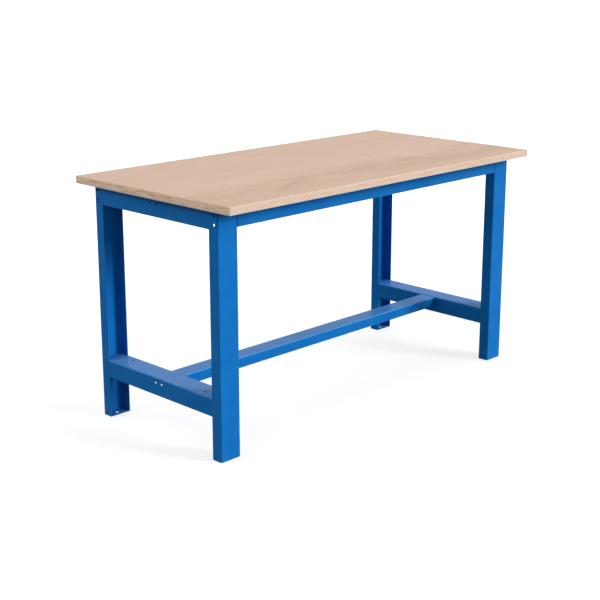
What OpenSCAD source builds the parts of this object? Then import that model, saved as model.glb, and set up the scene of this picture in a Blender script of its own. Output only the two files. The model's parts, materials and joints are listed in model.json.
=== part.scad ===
// Heavy duty workbench: a multi-ply worktop screwed to a frame of folded sheet steel.
// Two welded end frames, each of two legs and two rails, are joined by two long beams
// under the worktop and one low stretcher, all bolted.
// Millimetres. +X points to the right end, -Y to the front and +Z up.
// The origin is on the floor, under the middle of the worktop.

/* [Worktop] */
// Length of the worktop, along X
top_l = 1500; // [1000:10:2400]
// Width of the worktop, along Y
top_w = 750; // [700:10:1000]
// Thickness of the worktop
top_t = 25; // [22:1:50]
// Height of the working surface above the floor
bench_h = 820; // [650:5:1100]
// How far the worktop reaches past each end of the frame
end_overhang = 20; // [0:5:100]
// How far the worktop reaches past the front and the back of the frame
side_overhang = 75; // [20:5:120]
// Radius of the worktop's long and short edges
top_edge_r = 1; // [0.5:0.25:4]
// Radius of the worktop's upright corners
top_corner_r = 2.5; // [1:0.5:10]

/* [Sheet steel] */
// Thickness of the folded sheet
sheet_t = 2; // [1.5:0.25:3]
// Radius on the inside of every bend
bend_r = 2.5; // [1:0.25:3]
// Thickness of the plates welded into the ends of the beams and the stretcher
end_plate_t = 3; // [2:0.5:4]
// Thickness of the plate welded into the foot of each leg
foot_plate_t = 2; // [1.5:0.5:6]
// Extra corner radius that lets a plate clear the bends around it
plate_corner_gap = 0.5; // [0.2:0.1:1]

/* [Legs] */
// Width of a leg, along X
leg_w = 80; // [60:1:120]
// Depth of a leg, along Y
leg_d = 40; // [32:1:60]
// Radius of the hole in each foot plate for a floor anchor
anchor_hole_r = 6.5; // [4:0.5:8]
// Distance from a leg's outer face to the middle of its anchor hole
anchor_inset = 20; // [14:0.5:23]

/* [End rails] */
// Height of an end rail's section
rail_h = 60; // [56:1:100]
// Height of the lower rails' top face above the floor
lower_rail_top = 203; // [120:1:300]
// Radius of the open holes in the legs and rails, where things can be bolted on
hole_r = 4.5; // [4.2:0.1:5]
// Distance between the two side holes at the middle of a rail
pair_pitch = 30; // [20:1:40]
// Distance from a rail's top face down to its two side holes
pair_drop = 17; // [15:0.5:22]
// Distance between the two holes in a rail's top face, along Y
rail_top_pitch = 400; // [200:10:440]
// How far apart the same two holes are along X
rail_top_stagger = 30; // [0:1:34]

/* [Long beams] */
// Height of a beam's section
beam_h = 60; // [56:1:100]
// Depth of a beam's section
beam_d = 40; // [30:1:60]

/* [Stretcher] */
// Width of the stretcher's section
stretcher_w = 67; // [60:1:120]
// Height of the stretcher's section
stretcher_h = 36; // [34:1:60]
// How far the stretcher's top lies below the top of the lower rails
stretcher_drop = 1.5; // [0:0.5:2]

/* [Bolts] */
// Radius of a bolt's shank
bolt_r = 4; // [3:0.1:4]
// Radius of the holes that the bolts pass, a closer fit than the open holes
joint_hole_r = 4.25; // [4.1:0.05:4.4]
// Length of a bolt under its head
bolt_l = 20; // [19:1:30]
// Width of a bolt's head and of a nut across their flats
hex_af = 13; // [10:0.5:13]
// Thickness of a bolt's head
head_t = 5.3; // [4:0.1:7]
// Thickness of a nut
nut_t = 6.5; // [5:0.1:8]
// Radius of a washer
washer_r = 8; // [7.8:0.1:8.5]
// Thickness of a washer
washer_t = 1.6; // [1:0.1:2]
// Radial gap between a bolt's shank and the nut or washer around it
bolt_gap = 0.15; // [0.05:0.05:0.4]
// Distance from a beam's outer face to the bolts at its ends
bolt_inset = 17; // [14:0.5:19]
// Distance from the frame's top down to the upper bolt of a pair
bolt_drop = 14.5; // [14:0.5:16]
// Distance between the two bolts of a beam's pair
bolt_pitch = 29; // [20:0.5:29]

/* [Worktop screws] */
// Radius of a worktop screw's shank
screw_r = 2.5; // [2:0.1:3]
// Length of a worktop screw under its head
screw_l = 20; // [14:1:22]
// Radius of a worktop screw's round head
screw_head_r = 5.5; // [4:0.1:7]
// Thickness of a worktop screw's head
screw_head_t = 3; // [2:0.1:4]
// Gap around and above a screw in its pilot hole
screw_gap = 0.2; // [0.1:0.1:0.5]
// Radius of the washer under a screw's head
screw_washer_r = 9; // [7:0.5:12]
// Thickness of the washer under a screw's head
screw_washer_t = 1.5; // [1:0.1:2]

/* [Hidden] */
PAINT = "#1b75bc";
BOARD = "#d6bba5";
ZINC = "#b9bcc0";
ROUND = 48;
HEX = 6;
// How far a cutting solid runs past the face that it opens
past = 1;

LEFT = -1;
RIGHT = 1;
FRONT = -1;
BACK = 1;
ENDS = [LEFT, RIGHT];
SIDES = [FRONT, BACK];

frame_h = bench_h - top_t;
frame_half_l = top_l / 2 - end_overhang;
frame_half_w = top_w / 2 - side_overhang;

// Faces of the left end frame: its middle, the side that the beams and the stretcher
// meet, the sheet's other face behind it, and the far face of their end plates
leg_x = -frame_half_l + leg_w / 2;
joint_x = -frame_half_l + leg_w;
bolt_seat_x = joint_x - sheet_t;
nut_seat_x = joint_x + end_plate_t;

// The beams and the stretcher span the gap between the end frames
span_l = -2 * joint_x;

// A rail's walls stop at the legs' flanges, flush with them, and the flat middle of
// its top runs on between the flanges to the legs' webs
rail_l = 2 * (frame_half_w - leg_d);
tongue_l = 2 * (frame_half_w - sheet_t);
tongue_w = leg_w - 2 * (sheet_t + bend_r);

bolt_y = -frame_half_w + bolt_inset;
bolt_z = [for (i = [0, 1]) frame_h - bolt_drop - i * bolt_pitch];
pair_y = [-pair_pitch / 2, pair_pitch / 2];
pair_z = lower_rail_top - pair_drop;
stretcher_top = lower_rail_top - stretcher_drop;
rail_top_holes = [for (s = [-0.5, 0.5]) [s * rail_top_stagger, s * rail_top_pitch]];

// The underside of an upper rail's top sheet, where the screws' washers bear
screw_seat_z = frame_h - sheet_t;
pilot_depth = screw_l - screw_washer_t - sheet_t + screw_gap;

// Puts children drawn at the front left in the named quarter of the bench
module quarter(end, side) {
    mirror([end == RIGHT ? 1 : 0, 0, 0])
        mirror([0, side == BACK ? 1 : 0, 0])
            children();
}

// Turns children drawn at the left end round to the named end: both ends have the same
// pressing, so its staggered holes aren't mirrored
module turned_to(end) {
    rotate([0, 0, end == RIGHT ? 180 : 0])
        children();
}

// Rectangle with all its corners rounded, centred on the origin
module rounded_rectangle(w, h, r) {
    square([w - 2 * r, h], center = true);
    square([w, h - 2 * r], center = true);
    for (x = [-1, 1], y = [-1, 1])
        translate([x * (w / 2 - r), y * (h / 2 - r)])
            circle(r = r, $fn = ROUND);
}

// Rectangle from y = 0 to y = d, with the two corners at y = 0 rounded
module round_based(w, d, r) {
    translate([r - w / 2, 0])
        square([w - 2 * r, d]);
    translate([-w / 2, r])
        square([w, d - r]);
    for (x = [-1, 1])
        translate([x * (w / 2 - r), r])
            circle(r = r, $fn = ROUND);
}

// Section of a folded channel: its web lies on y = 0 and its flanges reach y = d
module channel_section(w, d) {
    difference() {
        round_based(w, d, bend_r + sheet_t);
        translate([0, sheet_t])
            round_based(w - 2 * sheet_t, d, bend_r);
    }
}

// Plate of thickness t that fits inside a channel of the same w and d
module channel_plate(w, d, t) {
    linear_extrude(height = t)
        translate([0, sheet_t])
            round_based(w - 2 * sheet_t, d - sheet_t, bend_r + plate_corner_gap);
}

// Lays a channel along Y with its web on top, at z = 0
module lay_web_up() {
    rotate([-90, 0, 0])
        children();
}

// Round cutter along X, of length l each way
module bore_x(r, l) {
    rotate([0, 90, 0])
        cylinder(r = r, h = 2 * l, center = true, $fn = ROUND);
}

// Cutters through the two sides of a leg or rail at the left end: an open hole in the
// outer side, and a hole of radius inner_r in the inner one
module bore_sides(inner_r) {
    translate([-leg_w / 2, 0, 0])
        bore_x(hole_r, sheet_t + past);
    translate([leg_w / 2, 0, 0])
        bore_x(inner_r, sheet_t + past);
}

// Round cutter through one sheet whose lower face is at z = 0
module bore_sheet(r) {
    translate([0, 0, -past])
        cylinder(r = r, h = sheet_t + 2 * past, $fn = ROUND);
}

module leg(end, side) {
    color(PAINT)
        quarter(end, side)
            translate([leg_x, -frame_half_w, 0])
                difference() {
                    linear_extrude(height = frame_h)
                        channel_section(leg_w, leg_d);
                    for (z = bolt_z)
                        translate([0, bolt_inset, z])
                            bore_sides(joint_hole_r);
                }
}

module foot_plate(end, side) {
    color(PAINT)
        quarter(end, side)
            translate([leg_x, -frame_half_w, 0])
                difference() {
                    channel_plate(leg_w, leg_d, foot_plate_t);
                    translate([0, anchor_inset, -past])
                        cylinder(r = anchor_hole_r, h = foot_plate_t + 2 * past, $fn = ROUND);
                }
}

// The holes in a rail's inner side have radius inner_r: the lower ones take bolts
module end_rail(end, top_z, inner_r) {
    color(PAINT)
        turned_to(end)
            translate([leg_x, 0, top_z])
                difference() {
                    union() {
                        lay_web_up()
                            linear_extrude(height = rail_l, center = true)
                                channel_section(leg_w, rail_h);
                        translate([-tongue_w / 2, -tongue_l / 2, -sheet_t])
                            cube([tongue_w, tongue_l, sheet_t]);
                    }
                    for (y = pair_y)
                        translate([0, y, -pair_drop])
                            bore_sides(inner_r);
                    for (hole = rail_top_holes)
                        translate([hole.x, hole.y, -sheet_t])
                            bore_sheet(hole_r);
                }
}

module long_beam(side) {
    color(PAINT)
        quarter(LEFT, side)
            translate([0, -frame_half_w, frame_h - beam_h / 2])
                rotate([0, -90, 0])
                    linear_extrude(height = span_l, center = true)
                        channel_section(beam_h, beam_d);
}

module beam_end_plate(end, side) {
    color(PAINT)
        quarter(end, side)
            difference() {
                translate([nut_seat_x, -frame_half_w, frame_h - beam_h / 2])
                    rotate([0, -90, 0])
                        channel_plate(beam_h, beam_d, end_plate_t);
                for (z = bolt_z)
                    translate([joint_x, bolt_y, z])
                        bore_x(joint_hole_r, end_plate_t + past);
            }
}

module stretcher() {
    color(PAINT)
        translate([0, 0, stretcher_top])
            rotate([0, 0, 90])
                lay_web_up()
                    linear_extrude(height = span_l, center = true)
                        channel_section(stretcher_w, stretcher_h);
}

module stretcher_end_plate(end) {
    color(PAINT)
        quarter(end, FRONT)
            difference() {
                translate([nut_seat_x, 0, stretcher_top])
                    rotate([0, 0, 90])
                        lay_web_up()
                            channel_plate(stretcher_w, stretcher_h, end_plate_t);
                for (y = pair_y)
                    translate([joint_x, y, pair_z])
                        bore_x(joint_hole_r, end_plate_t + past);
            }
}

// Hex bolt along +X: its head bears on x = 0
module bolt() {
    rotate([0, 90, 0]) {
        cylinder(r = bolt_r, h = bolt_l, $fn = ROUND);
        translate([0, 0, -head_t])
            cylinder(d = hex_af / cos(30), h = head_t, $fn = HEX);
    }
}

// Washer that lies on x = 0, towards +X
module washer() {
    rotate([0, 90, 0])
        difference() {
            cylinder(r = washer_r, h = washer_t, $fn = ROUND);
            translate([0, 0, -past])
                cylinder(r = bolt_r + bolt_gap, h = washer_t + 2 * past, $fn = ROUND);
        }
}

// Nut that lies on x = 0, towards +X
module nut() {
    rotate([0, 90, 0])
        difference() {
            cylinder(d = hex_af / cos(30), h = nut_t, $fn = HEX);
            translate([0, 0, -past])
                cylinder(r = bolt_r + bolt_gap, h = nut_t + 2 * past, $fn = ROUND);
        }
}

// Puts children at x on every bolt that holds a beam
module on_beam_bolts(x) {
    for (end = ENDS, side = SIDES)
        quarter(end, side)
            for (z = bolt_z)
                translate([x, bolt_y, z])
                    children();
}

// Puts children at x on every bolt that holds the stretcher
module on_stretcher_bolts(x) {
    for (end = ENDS)
        quarter(end, FRONT)
            for (y = pair_y)
                translate([x, y, pair_z])
                    children();
}

// Puts children at height z on every screw that holds the worktop
module on_worktop_screws(z) {
    for (end = ENDS)
        turned_to(end)
            for (hole = rail_top_holes)
                translate([leg_x + hole.x, hole.y, z])
                    children();
}

module beam_bolts() {
    color(ZINC)
        on_beam_bolts(bolt_seat_x - washer_t)
            bolt();
}

module beam_washers() {
    color(ZINC) {
        on_beam_bolts(bolt_seat_x - washer_t)
            washer();
        on_beam_bolts(nut_seat_x)
            washer();
    }
}

module beam_nuts() {
    color(ZINC)
        on_beam_bolts(nut_seat_x + washer_t)
            nut();
}

module stretcher_bolts() {
    color(ZINC)
        on_stretcher_bolts(bolt_seat_x - washer_t)
            bolt();
}

module stretcher_washers() {
    color(ZINC) {
        on_stretcher_bolts(bolt_seat_x - washer_t)
            washer();
        on_stretcher_bolts(nut_seat_x)
            washer();
    }
}

module stretcher_nuts() {
    color(ZINC)
        on_stretcher_bolts(nut_seat_x + washer_t)
            nut();
}

module worktop_screws() {
    color(ZINC)
        on_worktop_screws(screw_seat_z - screw_washer_t) {
            cylinder(r = screw_r, h = screw_l, $fn = ROUND);
            translate([0, 0, -screw_head_t])
                cylinder(r = screw_head_r, h = screw_head_t, $fn = ROUND);
        }
}

module worktop_screw_washers() {
    color(ZINC)
        on_worktop_screws(screw_seat_z - screw_washer_t)
            difference() {
                cylinder(r = screw_washer_r, h = screw_washer_t, $fn = ROUND);
                translate([0, 0, -past])
                    cylinder(r = screw_r + screw_gap, h = screw_washer_t + 2 * past, $fn = ROUND);
            }
}

// Board of the full size with rounded edges and upright corners
module board() {
    intersection() {
        linear_extrude(height = top_t, center = true)
            rounded_rectangle(top_l, top_w, top_corner_r);
        rotate([90, 0, 0])
            linear_extrude(height = top_w, center = true)
                rounded_rectangle(top_l, top_t, top_edge_r);
        rotate([0, 90, 0])
            linear_extrude(height = top_l, center = true)
                rounded_rectangle(top_t, top_w, top_edge_r);
    }
}

module worktop() {
    color(BOARD)
        difference() {
            translate([0, 0, frame_h + top_t / 2])
                board();
            on_worktop_screws(frame_h - past)
                cylinder(r = screw_r + screw_gap, h = pilot_depth + past, $fn = ROUND);
        }
}

module leg_front_left() leg(LEFT, FRONT);
module leg_back_left() leg(LEFT, BACK);
module leg_front_right() leg(RIGHT, FRONT);
module leg_back_right() leg(RIGHT, BACK);

module foot_plate_front_left() foot_plate(LEFT, FRONT);
module foot_plate_back_left() foot_plate(LEFT, BACK);
module foot_plate_front_right() foot_plate(RIGHT, FRONT);
module foot_plate_back_right() foot_plate(RIGHT, BACK);

module upper_end_rail_left() end_rail(LEFT, frame_h, hole_r);
module upper_end_rail_right() end_rail(RIGHT, frame_h, hole_r);
module lower_end_rail_left() end_rail(LEFT, lower_rail_top, joint_hole_r);
module lower_end_rail_right() end_rail(RIGHT, lower_rail_top, joint_hole_r);

module long_beam_front() long_beam(FRONT);
module long_beam_back() long_beam(BACK);

module beam_end_plate_front_left() beam_end_plate(LEFT, FRONT);
module beam_end_plate_back_left() beam_end_plate(LEFT, BACK);
module beam_end_plate_front_right() beam_end_plate(RIGHT, FRONT);
module beam_end_plate_back_right() beam_end_plate(RIGHT, BACK);

module stretcher_end_plate_left() stretcher_end_plate(LEFT);
module stretcher_end_plate_right() stretcher_end_plate(RIGHT);

worktop();
leg_front_left();
leg_back_left();
leg_front_right();
leg_back_right();
foot_plate_front_left();
foot_plate_back_left();
foot_plate_front_right();
foot_plate_back_right();
upper_end_rail_left();
upper_end_rail_right();
lower_end_rail_left();
lower_end_rail_right();
long_beam_front();
long_beam_back();
beam_end_plate_front_left();
beam_end_plate_back_left();
beam_end_plate_front_right();
beam_end_plate_back_right();
stretcher();
stretcher_end_plate_left();
stretcher_end_plate_right();
beam_bolts();
beam_washers();
beam_nuts();
stretcher_bolts();
stretcher_washers();
stretcher_nuts();
worktop_screws();
worktop_screw_washers();
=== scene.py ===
"""Looks of the heavy duty workbench: paint, plywood, zinc fasteners, studio light and camera.

Metres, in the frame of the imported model: +X to the right end, -Y to the front, +Z up.
"""

import json
import math
from typing import NamedTuple

import bpy
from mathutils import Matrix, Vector

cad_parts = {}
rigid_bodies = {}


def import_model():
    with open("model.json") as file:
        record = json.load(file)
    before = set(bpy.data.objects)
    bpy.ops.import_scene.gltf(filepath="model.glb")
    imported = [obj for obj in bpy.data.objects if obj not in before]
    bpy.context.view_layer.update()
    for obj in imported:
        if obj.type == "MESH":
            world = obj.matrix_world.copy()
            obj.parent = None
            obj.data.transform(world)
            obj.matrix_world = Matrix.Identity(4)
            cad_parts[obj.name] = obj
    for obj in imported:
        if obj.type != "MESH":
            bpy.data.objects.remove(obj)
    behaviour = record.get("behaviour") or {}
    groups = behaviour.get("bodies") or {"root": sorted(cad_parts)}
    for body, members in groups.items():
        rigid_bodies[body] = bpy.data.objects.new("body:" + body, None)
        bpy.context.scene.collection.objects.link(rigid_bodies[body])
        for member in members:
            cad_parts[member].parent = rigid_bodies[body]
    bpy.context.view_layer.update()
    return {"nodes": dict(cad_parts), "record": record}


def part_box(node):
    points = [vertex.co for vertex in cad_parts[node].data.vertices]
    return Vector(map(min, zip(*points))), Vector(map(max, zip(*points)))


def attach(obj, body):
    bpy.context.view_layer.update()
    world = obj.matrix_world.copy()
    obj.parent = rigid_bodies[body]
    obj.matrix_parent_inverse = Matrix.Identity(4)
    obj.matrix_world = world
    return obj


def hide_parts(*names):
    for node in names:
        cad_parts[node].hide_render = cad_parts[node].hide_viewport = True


MM = 0.001


class Pattern(NamedTuple):
    """A noise that is drawn out along the axes.

    It has a number of cycles to the metre along X, Y and Z, comes up between two values of the
    noise, and has its share where it is up in full.
    """

    cycles: tuple
    shown: tuple
    share: float
    detail: float = 2.0
    roughness: float = 0.5
    distortion: float = 0.0


# Colours, as 8-bit sRGB
PAINT_BLUE = (23, 114, 190)
PAINT_DEEP = (19, 106, 181)
# Painted highlight on the upward bends
PAINT_BEND_HIGHLIGHT = (78, 156, 220)
# Painted sheen, a pale reflection, on the flat tops
PAINT_TOP_SHEEN = (173, 201, 232)
# Painted shade under the worktop and inside the upper end rails
PAINT_SHADE_TONE = (8, 34, 66)
PAINT_GLOSS = (90, 190, 255)
FACE_VENEER = (197, 170, 150)
FACE_STREAK = (178, 150, 130)
FACE_PALE = (206, 179, 160)
LONG_GRAIN = (233, 214, 198)
LONG_STREAK = (218, 194, 173)
END_GRAIN = (214, 187, 163)
END_PORE = (174, 142, 114)
OUTER_PLY = (232, 211, 192)
END_PALE = (255, 225, 196)
EDGE_WARM = (226, 162, 122)
EDGE_OLIVE = (196, 174, 122)
EDGE_FLECK = (150, 112, 82)
GLUE_LINE = (168, 134, 104)
# Painted shade along the lower rim of the board's edges
RIM_SHADE_GREY = (198, 191, 189)
ZINC_PALE = (196, 200, 206)
ZINC_DARK = (166, 171, 178)
WHITE = (255, 255, 255)
FLOOR_PALE = (150, 150, 150)
FLOOR_SHADE = (162, 162, 162)

# Least and most roughness of each finish, and how high and how strong its relief is
PAINT_ROUGHNESS = (0.17, 0.22)
PAINT_RELIEF = (0.02 * MM, 0.35)
LACQUER_ROUGHNESS = (0.42, 0.52)
LACQUER_RELIEF = (0.03 * MM, 0.5)
ZINC_ROUGHNESS = (0.26, 0.38)
ZINC_RELIEF = (0.01 * MM, 0.3)

# Gloss of the paint and of the lacquer
PAINT_SPECULAR = 0.025
LACQUER_SPECULAR = 0.03

# Values between which nearly all of a noise lies
NOISE_SPAN = (0.3, 0.7)

# Patterns of the paint and of its painted highlight and sheen, in cycles to the metre
CLOUDS = 9.0
SPECKS = 700.0
BEND_HIGHLIGHT_PATCHES = 60.0
SHEEN_PATCHES = 14.0
ORANGE_PEEL = 420.0

# Values between which the specks and the patches of painted bend highlight come up, and how far
# the specks shift the paint's tone
SPECK_SPAN = (0.2, 0.8)
SPECK_TONE = 0.15
BEND_HIGHLIGHT_SPAN = (0.3, 0.6)

# How far up a face looks, as the upward share of its normal: from the side to a bend, and
# from a bend to a flat top
UP_BEND = (0.2, 0.4)
UP_FLAT = (0.93, 0.99)

# Least and most share of the painted highlight on the bends and of the painted sheen on the flat
# tops
BEND_HIGHLIGHT_SHARE = (0.55, 1.0)
SHEEN_SHARE = (0.14, 0.2)

# Where the painted sheen thins out and what is left of it: towards the right end, and in the legs
SHEEN_THINS_X = (-0.3, 0.6)
SHEEN_AT_RIGHT = 0.6
SHEEN_THINS_Y = (0.24, 0.27)
SHEEN_IN_LEGS = 0.3

# Which faces are which, by the share of their normal: along Z from an edge to a flat face of
# the board, and the least along X on the board's short edges and on the rails' walls
BOARD_FLAT = (0.6, 0.8)
BOARD_END = 0.7
RAIL_WALL = 0.5

# Painted shade: how far below the worktop it reaches and its share, on every face and inside the
# upper end rails
SHADE_REACH = 20 * MM
SHADE_SHARE = 0.9
RAIL_SHADE_REACH = (50 * MM, 60 * MM)
RAIL_SHADE_SHARE = 0.85

# How far past a level or a wall a face may lie and still belong to it
NEAR = 1 * MM

# Two broad bands in the face veneer, a paler and a darker one: where the middle lies along
# Y, between which distances from it the band fades, its share, and how patches break it up:
# two values of the patches' noise, and how much of the band is left at each
PALE_BAND = (-0.045, (0.04, 0.14), 0.7, (0.4, 0.58, 0.0, 1.0))
DEEP_BAND = (-0.225, (0.03, 0.12), 0.5, (0.42, 0.6, 1.0, 0.0))

# The patches that break up the bands, in cycles to the metre along X, Y and Z
BAND_PATCHES = (3.2, 7, 7)

# Patterns of the face veneer
FACE_FIGURE = Pattern(
    (2.2, 14, 14), (0.36, 0.62), 0.5, detail=4.0, roughness=0.6, distortion=0.9
)
FACE_BAND = Pattern((3.5, 60, 60), (0.42, 0.72), 0.2, detail=4.0, roughness=0.6)
FACE_FIBRE = Pattern((30, 900, 900), (0.35, 0.7), 0.3)
FACE_RAY = Pattern((260, 1500, 1500), (0.56, 0.68), 0.45, detail=1.0)
FACE_FLECK = Pattern((60, 170, 170), (0.68, 0.78), 0.5, detail=1.0)

# Plies of the worktop: an odd number, so that both faces run lengthwise. The glue line takes
# a share of each ply, and the plies wave up and down
PLIES = 13
GLUE_SHARE = 0.12
GLUE_STRENGTH = 0.5
PLY_WAVE = 0.25 * MM

# Patterns of the board's edges, and the waves of the plies in cycles to the metre along X, Y
# and Z
EDGE_PORE = Pattern((900, 900, 500), (0.35, 0.7), 0.6, detail=1.0)
EDGE_FIBRE = Pattern((40, 40, 2500), NOISE_SPAN, 0.5)
EDGE_WAVE = (6, 6, 0)

# Paler outer plies: how far from the board's middle they start and are in full, as shares of
# its thickness, and how much paler they are. The short edges are paler too, from the left
# end's share to the right end's: painted light, which lifts the dimly lit left end the most.
OUTER_START = (0.2, 0.45)
OUTER_SHARE = 0.5
END_PALE_SHARE = (0.85, 0.35)

# Warm and olive patches on the edges: colour, cycles to the metre along the edge, cycles to
# the ply across it, range of the noise in which they appear, and its distortion
EDGE_PATCHES = (
    (EDGE_WARM, 17, 0.4, (0.53, 0.66), 0.0),
    (EDGE_OLIVE, 23, 0.5, (0.54, 0.68), 0.5),
)
PATCH_SHARE_LONG = 0.6
PATCH_SHARE_END = 0.85
PATCH_SHARE_OUTER = 0.4

# Dark flecks on the edges: cycles to the metre, cycles to the ply, range of the noise in
# which they appear, and their share
EDGE_FLECKS = (110, 0.8, (0.66, 0.74), 0.7)

# Painted shade along the board's lower rim: heights between which its grey fades, and its share
# below them
RIM_SHADE_FADE = (2.5 * MM, 7 * MM)
RIM_SHADE_SHARE = 0.9

# Patterns of the zinc, in cycles to the metre
ZINC_MOTTLE = 500.0
ZINC_SCRATCH = (200, 4000, 4000)

# Fasteners, in the sizes of the CAD solids that they stand for
BOLT_R = 4 * MM
BOLT_HEAD = 5.3 * MM
HEX_ACROSS = 13 * MM
NUT_BORE = 4.15 * MM
SCREW_R = 2.5 * MM
SCREW_HEAD = 3 * MM
SCREW_HEAD_R = 5.5 * MM

# What the CAD solids leave out: threads, chamfers and the screws' cross recess
THREAD_PITCH = 1.25 * MM
THREAD_DEPTH = 0.65 * MM
THREAD_TIP = 0.8 * MM
ROWS_PER_TURN = 4
TIP_DEPTH = 1.6 * THREAD_DEPTH
HEX_CHAMFER = math.radians(30)
HEX_ROUND_SHARE = 0.94
CROWN_SHARE = 0.45
CROWN_STEPS = 16
RECESS_REACH = 2.7 * MM
RECESS_DEPTH = 1.7 * MM
RECESS_ARM = 0.6 * MM
RECESS_SLOPE = 1.4
SCREW_POINT = 2 * SCREW_R
SCREW_POINT_R = 0.3 * SCREW_R

# Points round each row of a fastener, and the sharpest angle that still shades smoothly
TURNS = 48
SMOOTH_ANGLE = math.radians(25)

# Camera, fitted to the edges of the bench in the photograph
CAMERA_PLACE = Vector((-3.0634, -2.9278, 1.5293))
CAMERA_YAW = -45.555
CAMERA_PITCH = 14.568
CAMERA_LENS = 73.28
CAMERA_SHIFT_Y = -0.05

# Studio: where each lamp's light comes from, how many degrees it is across and its strength
LAMPS = {
    "key": (Vector((0.4397, -0.827, 0.35)), 20, 2.45),
    "left": (Vector((-0.71, 0.1, 0.7)), 30, 0.3),
}

# Light of the world: an even share, and more from each of these sides
SKY_EVEN = 0.03
SKY_SIDES = {
    (0.0, -1.0, 0.0): 0.2,
    (1.0, 0.0, 0.0): 0.78,
    (0.0, 1.0, 0.0): 0.9,
    (-1.0, 0.0, 0.0): 0.03,
    (0.0, 0.0, 1.0): 0.65,
}

# Floor, and its glow as the camera sees it: the shadow shows near the bench, and farther
# out the floor turns as white as the world behind it
FLOOR_HALF = 40.0
GLOW_REACH = (1.0, 3.5)
GLOW = (0.7, 1.0)


def linear(colour):
    """Linear RGBA of an 8-bit sRGB colour."""
    shares = (c / 255 for c in colour)
    return (*(s / 12.92 if s <= 0.04045 else ((s + 0.055) / 1.055) ** 2.4 for s in shares), 1.0)


class Graph:
    """The nodes of one material or world."""

    def __init__(self, owner, output):
        self.owner = owner
        owner.use_nodes = True
        self.nodes = owner.node_tree.nodes
        self.links = owner.node_tree.links
        self.nodes.clear()
        self.surface = self.add(output).inputs["Surface"]

    def add(self, kind, **settings):
        node = self.nodes.new("ShaderNode" + kind)
        for key, value in settings.items():
            setattr(node, key, value)
        return node

    def put(self, socket, value):
        if isinstance(value, bpy.types.NodeSocket):
            self.links.new(value, socket)
        else:
            socket.default_value = value

    def place(self):
        """Coordinates of the object, which are those of the frame."""
        return self.add("TexCoord").outputs["Object"]

    def axes(self, vector):
        """A vector's values along X, Y and Z."""
        node = self.add("SeparateXYZ")
        self.put(node.inputs["Vector"], vector)
        return [node.outputs[axis] for axis in "XYZ"]

    def noise(self, vector, scale, detail=2.0, roughness=0.5, distortion=0.0):
        texture = self.add("TexNoise")
        self.put(texture.inputs["Vector"], vector)
        texture.inputs["Scale"].default_value = scale
        texture.inputs["Detail"].default_value = detail
        texture.inputs["Roughness"].default_value = roughness
        texture.inputs["Distortion"].default_value = distortion
        return texture.outputs["Fac"]

    def grain(self, vector, scales, **settings):
        """Noise with a scale of its own along each axis."""
        mapping = self.add("Mapping")
        self.put(mapping.inputs["Vector"], vector)
        mapping.inputs["Scale"].default_value = scales
        return self.noise(mapping.outputs["Vector"], 1.0, **settings)

    def pattern(self, vector, pattern):
        """The noise of a pattern, and how much of the pattern shows."""
        cycles, shown, share, detail, roughness, distortion = pattern
        noise = self.grain(
            vector, cycles, detail=detail, roughness=roughness, distortion=distortion
        )
        return noise, self.spread(noise, *shown, 0.0, share)

    def math(self, operation, a, b=0.0):
        node = self.add("Math", operation=operation)
        self.put(node.inputs[0], a)
        self.put(node.inputs[1], b)
        return node.outputs[0]

    def total(self, first, *others):
        for other in others:
            first = self.math("ADD", first, other)
        return first

    def product(self, first, *others):
        for other in others:
            first = self.math("MULTIPLY", first, other)
        return first

    def off(self, value, middle=0.0):
        """How far a value is from a middle, to either side."""
        return self.math("ABSOLUTE", self.math("SUBTRACT", value, middle))

    def spread(self, value, low, high, to_low=0.0, to_high=1.0):
        """Value from low to high, mapped to to_low and to_high and held there."""
        node = self.add("MapRange")
        self.put(node.inputs["Value"], value)
        node.inputs["From Min"].default_value = low
        node.inputs["From Max"].default_value = high
        self.put(node.inputs["To Min"], to_low)
        self.put(node.inputs["To Max"], to_high)
        return node.outputs["Result"]

    def mix(self, share, a, b):
        """Colour a where share is 0, and b where it is 1."""
        node = self.add("Mix", data_type="RGBA")
        self.put(node.inputs["Factor"], share)
        self.put(node.inputs[6], a)
        self.put(node.inputs[7], b)
        return node.outputs[2]

    def seen_plainly(self):
        """1 for rays that show the background: camera, glossy and transmission rays."""
        path = self.add("LightPath")
        seen = self.math("MAXIMUM", path.outputs["Is Camera Ray"], path.outputs["Is Glossy Ray"])
        return self.math("MAXIMUM", seen, path.outputs["Is Transmission Ray"])


class Finish(Graph):
    """The nodes of one material round a Principled shader."""

    def __init__(self, name):
        super().__init__(bpy.data.materials.new(name), "OutputMaterial")
        self.shader = self.add("BsdfPrincipled")
        self.put(self.surface, self.shader.outputs["BSDF"])

    def bump(self, height, distance, strength):
        node = self.add("Bump")
        self.put(node.inputs["Height"], height)
        node.inputs["Distance"].default_value = distance
        node.inputs["Strength"].default_value = strength
        self.put(self.shader.inputs["Normal"], node.outputs["Normal"])

    def finish(self, colour, roughness):
        self.put(self.shader.inputs["Base Color"], colour)
        self.put(self.shader.inputs["Roughness"], roughness)
        return self.owner


def bend_highlight_share(g, place, up, up_to_lower_rails):
    """How much painted highlight lies on the bends that face up, broken up in patches."""
    on_bend = g.product(g.spread(up, *UP_BEND), g.spread(up, *UP_FLAT, 1.0, 0.0))
    highlight_patches = g.spread(g.noise(place, BEND_HIGHLIGHT_PATCHES, detail=3.0), *BEND_HIGHLIGHT_SPAN, *BEND_HIGHLIGHT_SHARE)
    return g.product(on_bend, highlight_patches, up_to_lower_rails)


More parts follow.
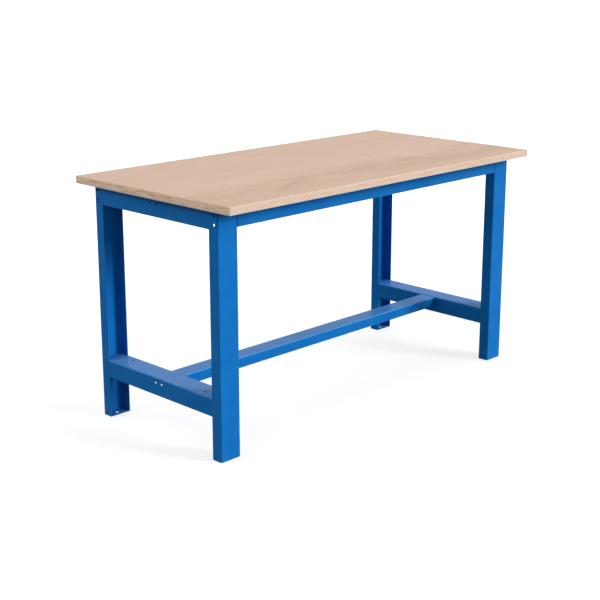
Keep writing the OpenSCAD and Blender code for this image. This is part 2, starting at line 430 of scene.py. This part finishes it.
def top_sheen_share(g, place, up, up_to_lower_rails):
    """How much painted sheen, a pale reflection, lies on the flat tops."""
    x, y, _ = g.axes(place)
    painted_sheen = g.spread(g.noise(place, SHEEN_PATCHES, detail=3.0), *NOISE_SPAN, *SHEEN_SHARE)
    along = g.spread(x, *SHEEN_THINS_X, 1.0, SHEEN_AT_RIGHT)
    between_legs = g.spread(g.off(y), *SHEEN_THINS_Y, 1.0, SHEEN_IN_LEGS)
    return g.product(g.spread(up, *UP_FLAT), painted_sheen, along, between_legs, up_to_lower_rails)


def painted_shade_share(g, place, sideways, rail_low, rail_high):
    """How much painted shade lies right under the worktop and inside the upper end rails.

    rail_low and rail_high are the corners of the left lower rail. The upper rails take their
    place along X from it, because they lie right above the lower ones.
    """
    x, _, z = g.axes(place)
    table_low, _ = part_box("worktop")
    gap = g.math("SUBTRACT", table_low.z, z)
    under = g.spread(gap, 0.0, SHADE_REACH, SHADE_SHARE, 0.0)
    from_rail = g.off(g.off(x), -(rail_low.x + rail_high.x) / 2)
    inside = g.math("LESS_THAN", from_rail, (rail_high.x - rail_low.x) / 2 - NEAR)
    on_wall = g.math("GREATER_THAN", g.off(sideways), RAIL_WALL)
    in_rail = g.spread(gap, *RAIL_SHADE_REACH, RAIL_SHADE_SHARE, 0.0)
    return g.math("MAXIMUM", under, g.product(inside, on_wall, in_rail))


def powder_coat():
    """Blue powder coat with fine orange peel and faint clouds.

    Only the lower rails, the stretcher and what is below them get a painted highlight on their
    upward bends and a painted sheen on their flat tops.
    """
    g = Finish("powder_coat")
    place = g.place()
    cloud = g.noise(place, CLOUDS, detail=3.0)
    speck = g.noise(place, SPECKS, detail=1.0)
    shift = g.spread(speck, *SPECK_SPAN, -SPECK_TONE, SPECK_TONE)
    tone = g.total(g.spread(cloud, *NOISE_SPAN), shift)
    colour = g.mix(tone, linear(PAINT_BLUE), linear(PAINT_DEEP))
    sideways, _, up = g.axes(g.add("NewGeometry").outputs["Normal"])
    rail_low, rail_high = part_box("lower_end_rail_left")
    up_to_lower_rails = g.math("LESS_THAN", g.axes(place)[2], rail_high.z + NEAR)
    painted_highlight = bend_highlight_share(g, place, up, up_to_lower_rails)
    painted_sheen = top_sheen_share(g, place, up, up_to_lower_rails)
    painted_shade = painted_shade_share(g, place, sideways, rail_low, rail_high)
    # Painted highlight on the upward bends
    colour = g.mix(painted_highlight, colour, linear(PAINT_BEND_HIGHLIGHT))
    # Painted sheen, a pale reflection, on the flat tops
    colour = g.mix(painted_sheen, colour, linear(PAINT_TOP_SHEEN))
    # Painted shade right under the worktop and inside the upper end rails
    colour = g.mix(painted_shade, colour, linear(PAINT_SHADE_TONE))
    g.bump(g.noise(place, ORANGE_PEEL, detail=1.5), *PAINT_RELIEF)
    g.shader.inputs["Specular IOR Level"].default_value = PAINT_SPECULAR
    g.shader.inputs["Specular Tint"].default_value = linear(PAINT_GLOSS)
    return g.finish(colour, g.spread(cloud, *NOISE_SPAN, *PAINT_ROUGHNESS))


def broad_band(g, across, patches, band):
    """How much a broad lengthwise band of the face veneer shows."""
    middle, fade, share, broken = band
    whole = g.spread(g.off(across, middle), *fade, share, 0.0)
    return g.product(whole, g.spread(patches, *broken))


def veneer_face(g, place):
    """Colour of the lengthwise face veneer, and the noise of its fibres."""
    _, across, _ = g.axes(place)
    patches = g.grain(place, BAND_PATCHES, detail=3.0, distortion=0.8)
    pale = broad_band(g, across, patches, PALE_BAND)
    deep = broad_band(g, across, patches, DEEP_BAND)
    _, figure = g.pattern(place, FACE_FIGURE)
    _, bands = g.pattern(place, FACE_BAND)
    fibre, fibres = g.pattern(place, FACE_FIBRE)
    _, rays = g.pattern(place, FACE_RAY)
    _, flecks = g.pattern(place, FACE_FLECK)
    ground = g.mix(g.total(figure, pale), linear(FACE_VENEER), linear(FACE_PALE))
    streaks = g.total(deep, bands, fibres, rays, flecks)
    return g.mix(streaks, ground, linear(FACE_STREAK)), fibre


def ply_wood(g, place, level, at_end):
    """Wood of the plies on the board's edges, long grain and end grain by turns."""
    _, pores = g.pattern(place, EDGE_PORE)
    _, fibres = g.pattern(place, EDGE_FIBRE)
    long_grain = g.mix(fibres, linear(LONG_GRAIN), linear(LONG_STREAK))
    end_grain = g.mix(pores, linear(END_GRAIN), linear(END_PORE))
    turn = g.math("MODULO", g.total(g.math("FLOOR", level), at_end), 2.0)
    return g.mix(g.math("GREATER_THAN", turn, 0.5), long_grain, end_grain)


def veneer_edges(g, place, at_end):
    """Colour of the plies on the board's edges. at_end is 1 on the two short edges."""
    low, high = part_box("worktop")
    thickness = high.z - low.z
    ply = thickness / PLIES
    x, _, z = g.axes(place)
    wave = g.spread(g.grain(place, EDGE_WAVE), 0, 1, -PLY_WAVE, PLY_WAVE)
    level = g.math("DIVIDE", g.math("SUBTRACT", g.total(z, wave), low.z), ply)
    wood = ply_wood(g, place, level, at_end)
    start, full = (share * thickness for share in OUTER_START)
    outer = g.spread(g.off(z, (low.z + high.z) / 2), start, full)
    wood = g.mix(g.product(outer, OUTER_SHARE), wood, linear(OUTER_PLY))
    # Painted light: the short edges are paler, most of all at the dimly lit left end
    paler = g.spread(x, low.x, high.x, *END_PALE_SHARE)
    wood = g.mix(g.product(at_end, paler), wood, linear(END_PALE))
    inner = g.spread(at_end, 0.0, 1.0, PATCH_SHARE_LONG, PATCH_SHARE_END)
    most = g.spread(outer, 0.0, 1.0, inner, PATCH_SHARE_OUTER)
    for tint, along, through, shown, distortion in EDGE_PATCHES:
        patch = g.grain(place, (along, along, through / ply), distortion=distortion)
        wood = g.mix(g.product(g.spread(patch, *shown), most), wood, linear(tint))
    along, through, shown, share = EDGE_FLECKS
    fleck = g.grain(place, (along, along, through / ply), detail=1.0)
    wood = g.mix(g.spread(fleck, *shown, 0.0, share), wood, linear(EDGE_FLECK))
    glue = g.math("LESS_THAN", g.math("FRACT", level), GLUE_SHARE)
    wood = g.mix(g.product(glue, GLUE_STRENGTH), wood, linear(GLUE_LINE))
    # Painted shade: the lowest plies turn greyer and a little darker along the lower rim
    grey, clear = (low.z + height for height in RIM_SHADE_FADE)
    return g.mix(g.spread(z, grey, clear, RIM_SHADE_SHARE, 0.0), wood, linear(RIM_SHADE_GREY))


def plywood():
    """Lacquered beech plywood: straight grain on the faces, plies on the edges."""
    g = Finish("beech_plywood")
    place = g.place()
    sideways, _, up = g.axes(g.add("NewGeometry").outputs["True Normal"])
    flat = g.spread(g.off(up), *BOARD_FLAT)
    at_end = g.math("GREATER_THAN", g.off(sideways), BOARD_END)
    face, fibre = veneer_face(g, place)
    colour = g.mix(flat, veneer_edges(g, place, at_end), face)
    g.bump(fibre, *LACQUER_RELIEF)
    g.shader.inputs["Specular IOR Level"].default_value = LACQUER_SPECULAR
    return g.finish(colour, g.spread(fibre, *NOISE_SPAN, *LACQUER_ROUGHNESS))


def zinc_plate():
    """Bright zinc plating with a faint mottle and fine scratches."""
    g = Finish("zinc_plate")
    place = g.place()
    mottle = g.noise(place, ZINC_MOTTLE, detail=3.0)
    scratch = g.grain(place, ZINC_SCRATCH, detail=1.0)
    g.shader.inputs["Metallic"].default_value = 1.0
    g.bump(scratch, *ZINC_RELIEF)
    colour = g.mix(g.spread(mottle, *NOISE_SPAN), linear(ZINC_PALE), linear(ZINC_DARK))
    return g.finish(colour, g.spread(mottle, *NOISE_SPAN, *ZINC_ROUGHNESS))


def dress_nodes(frame, finishes):
    """Gives every CAD node the finish of its material slot in the record."""
    slots = {part["node"]: part["material_slot"] for part in frame["record"]["subparts"]}
    for name, piece in frame["nodes"].items():
        for slot in piece.material_slots:
            slot.material = finishes[slots[name]]


def solids(node):
    """Lowest and highest corner of each separate solid in a CAD node."""
    mesh = node.data
    group = list(range(len(mesh.vertices)))
    keys = {}
    for vertex in mesh.vertices:
        key = tuple(round(c, 6) for c in vertex.co)
        group[vertex.index] = keys.setdefault(key, vertex.index)

    def root(i):
        while group[i] != i:
            i = group[i]
        return i

    for edge in mesh.edges:
        a, b = (root(i) for i in edge.vertices)
        group[b] = a
    boxes = {}
    for vertex in mesh.vertices:
        low, high = boxes.setdefault(root(vertex.index), (vertex.co.copy(), vertex.co.copy()))
        for axis in range(3):
            low[axis] = min(low[axis], vertex.co[axis])
            high[axis] = max(high[axis], vertex.co[axis])
    return list(boxes.values())


def turned_faces(rows, closed):
    """Faces between rows of TURNS points. closed joins the last row to the first."""
    pairs = [(r, r + 1) for r in range(rows - 1)]
    if closed:
        pairs.append((rows - 1, 0))
    faces = []
    for a, b in pairs:
        for i in range(TURNS):
            j = (i + 1) % TURNS
            faces.append((a * TURNS + i, a * TURNS + j, b * TURNS + j, b * TURNS + i))
    if not closed:
        faces.append(tuple(reversed(range(TURNS))))
        faces.append(tuple((rows - 1) * TURNS + i for i in range(TURNS)))
    return faces


def hex_radius(angle):
    """Distance from the axis to the side of a hexagon that has a corner at angle 0."""
    step = math.radians(60)
    return HEX_ACROSS / 2 / math.cos(angle % step - step / 2)


def hex_rows(length, chamfer_start, chamfer_end):
    """Rows of a hexagonal prism from 0 to length, with the corners of its ends chamfered."""
    crest = HEX_ROUND_SHARE * HEX_ACROSS / 2

    def edge(at, inwards):
        def row(angle):
            radius = hex_radius(angle)
            return radius, at + inwards * (radius - crest) * math.tan(HEX_CHAMFER)

        return row

    rows = [edge(0.0, 1 if chamfer_start else 0), edge(length, -1 if chamfer_end else 0)]
    if chamfer_start:
        rows.insert(0, lambda angle: (crest, 0.0))
    if chamfer_end:
        rows.append(lambda angle: (crest, length))
    return rows


def thread_row(at):
    """One row of a bolt's thread at a place along its axis."""

    def row(angle):
        turn = at / THREAD_PITCH - angle / math.tau
        return BOLT_R - THREAD_DEPTH * abs(2 * (turn % 1.0) - 1), at

    return row


def bolt_rows(length):
    """Rows of a hex bolt from the end of its head to its tip."""
    rows = hex_rows(BOLT_HEAD, True, False)
    reach = length - BOLT_HEAD - THREAD_TIP
    steps = round(reach / THREAD_PITCH * ROWS_PER_TURN)
    for step in range(steps + 1):
        rows.append(thread_row(BOLT_HEAD + reach * step / steps))
    rows.append(lambda angle: (BOLT_R - TIP_DEPTH, length))
    return rows


def nut_rows(length):
    """Rows of a nut as a ring round its bore."""
    bore = [lambda angle: (NUT_BORE, length), lambda angle: (NUT_BORE, 0.0)]
    return hex_rows(length, True, True) + bore


def recess(radius, angle):
    """Depth of the cross recess in a screw head."""
    x, y = abs(radius * math.cos(angle)), abs(radius * math.sin(angle))
    if min(x, y) > RECESS_ARM or radius >= RECESS_REACH:
        return 0.0
    return RECESS_DEPTH * min(1.0, RECESS_SLOPE * (1 - radius / RECESS_REACH))


def screw_rows(length):
    """Rows of a pan head screw from the crown of its head to its tip."""

    def crown(share):
        def row(angle):
            radius = share * SCREW_HEAD_R
            fall = SCREW_HEAD * CROWN_SHARE * (1 - math.sqrt(1 - share**2))
            return radius, fall + recess(radius, angle)

        return row

    rows = [crown((step + 1) / CROWN_STEPS) for step in range(CROWN_STEPS)]
    rows += [lambda angle: (SCREW_HEAD_R, SCREW_HEAD), lambda angle: (SCREW_R, SCREW_HEAD)]
    rows += [lambda angle: (SCREW_R, length - SCREW_POINT), lambda angle: (SCREW_POINT_R, length)]
    return rows


def fasteners(node_name, frame, finish, make_rows, way, closed=False):
    """One object that stands for every fastener of a CAD node, each in its solid's place.

    The rows run along way from the end of each solid, and each row gives the radius and
    the place along the axis at every angle.
    """
    verts, faces = [], []
    for low, high in solids(frame["nodes"][node_name]):
        middle = (low + high) / 2
        axis = way(middle)
        side = Vector((0, 0, 1)) if abs(axis.x) > 0.5 else Vector((1, 0, 0))
        across = axis.cross(side)
        length = abs((high - low).dot(axis))
        start = middle - axis * length / 2
        rows = make_rows(length)
        first = len(verts)
        for row in rows:
            for i in range(TURNS):
                angle = math.tau * i / TURNS
                radius, along = row(angle)
                flat = side * math.cos(angle) + across * math.sin(angle)
                verts.append(start + axis * along + flat * radius)
        for face in turned_faces(len(rows), closed):
            faces.append(tuple(first + v for v in face))
    mesh = bpy.data.meshes.new(node_name)
    mesh.from_pydata(verts, [], faces)
    mesh.validate()
    mesh.shade_smooth()
    mesh.set_sharp_from_angle(angle=SMOOTH_ANGLE)
    mesh.materials.append(finish)
    piece = bpy.data.objects.new("detailed_" + node_name, mesh)
    bpy.context.scene.collection.objects.link(piece)
    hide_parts(node_name)
    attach(piece, "root")


def make_fasteners(frame, finish):
    """Threaded bolts, chamfered nuts and recessed screws in place of the CAD's plain ones."""

    def inwards(place):
        return Vector((1, 0, 0)) if place.x < 0 else Vector((-1, 0, 0))

    def upwards(place):
        return Vector((0, 0, 1))

    for joint in ("beam", "stretcher"):
        fasteners(joint + "_bolts", frame, finish, bolt_rows, inwards)
        fasteners(joint + "_nuts", frame, finish, nut_rows, inwards, closed=True)
    fasteners("worktop_screws", frame, finish, screw_rows, upwards)


def make_stage():
    """White floor that still takes the soft shadow of the bench."""
    bpy.ops.mesh.primitive_plane_add(size=2 * FLOOR_HALF, location=(0, 0, 0))
    floor = bpy.context.object
    floor.name = "floor"
    g = Finish("floor_white")
    g.finish(linear(FLOOR_PALE), 1.0)
    g.shader.inputs["Specular IOR Level"].default_value = 0.0
    reach = g.add("VectorMath", operation="LENGTH")
    g.put(reach.inputs[0], g.place())
    glow = g.add("Emission")
    g.put(glow.inputs["Color"], linear(WHITE))
    g.put(glow.inputs["Strength"], g.spread(reach.outputs["Value"], *GLOW_REACH, *GLOW))
    dim = g.add("BsdfDiffuse")
    g.put(dim.inputs["Color"], linear(FLOOR_SHADE))
    lit = g.add("AddShader")
    g.put(lit.inputs[0], dim.outputs["BSDF"])
    g.put(lit.inputs[1], glow.outputs["Emission"])
    mix = g.add("MixShader")
    g.put(mix.inputs["Fac"], g.seen_plainly())
    g.put(mix.inputs[1], g.shader.outputs["BSDF"])
    g.put(mix.inputs[2], lit.outputs["Shader"])
    g.put(g.surface, mix.outputs["Shader"])
    floor.data.materials.append(g.owner)


def make_world():
    """Soft light from all round, stronger from some sides, with plain white to look at."""
    world = bpy.data.worlds.new("studio")
    bpy.context.scene.world = world
    g = Graph(world, "OutputWorld")
    outward = g.add("TexCoord").outputs["Generated"]
    light = SKY_EVEN
    for side, share in SKY_SIDES.items():
        facing = g.add("VectorMath", operation="DOT_PRODUCT")
        g.put(facing.inputs[0], outward)
        facing.inputs[1].default_value = side
        lobe = g.math("MAXIMUM", facing.outputs["Value"], 0.0)
        light = g.total(g.product(lobe, share), light)
    background = g.add("Background")
    background.inputs["Color"].default_value = linear(WHITE)
    g.put(background.inputs["Strength"], g.spread(g.seen_plainly(), 0.0, 1.0, light, 1.0))
    g.put(g.surface, background.outputs["Background"])


def make_lamps():
    """Soft lamps, like suns. Reflections show only the white around, not the lamps."""
    for name, (way, across, strength) in LAMPS.items():
        lamp = bpy.data.lights.new(name, "SUN")
        lamp.angle = math.radians(across)
        lamp.energy = strength
        holder = bpy.data.objects.new(name, lamp)
        holder.rotation_euler = way.to_track_quat("Z", "Y").to_euler()
        holder.visible_glossy = False
        bpy.context.scene.collection.objects.link(holder)


def make_camera():
    """Camera at the photograph's place and angle."""
    lens = bpy.data.cameras.new("camera")
    lens.lens = CAMERA_LENS
    lens.shift_y = CAMERA_SHIFT_Y
    camera = bpy.data.objects.new("camera", lens)
    camera.location = CAMERA_PLACE
    camera.rotation_euler = (math.radians(90 - CAMERA_PITCH), 0, math.radians(CAMERA_YAW))
    bpy.context.scene.collection.objects.link(camera)
    bpy.context.scene.camera = camera


for leftover in list(bpy.data.objects):
    bpy.data.objects.remove(leftover)

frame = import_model()
bpy.context.scene.view_settings.view_transform = "Standard"

finishes = {"paint": powder_coat(), "board": plywood(), "zinc": zinc_plate()}
dress_nodes(frame, finishes)
make_fasteners(frame, finishes["zinc"])
make_stage()
make_world()
make_lamps()
make_camera()
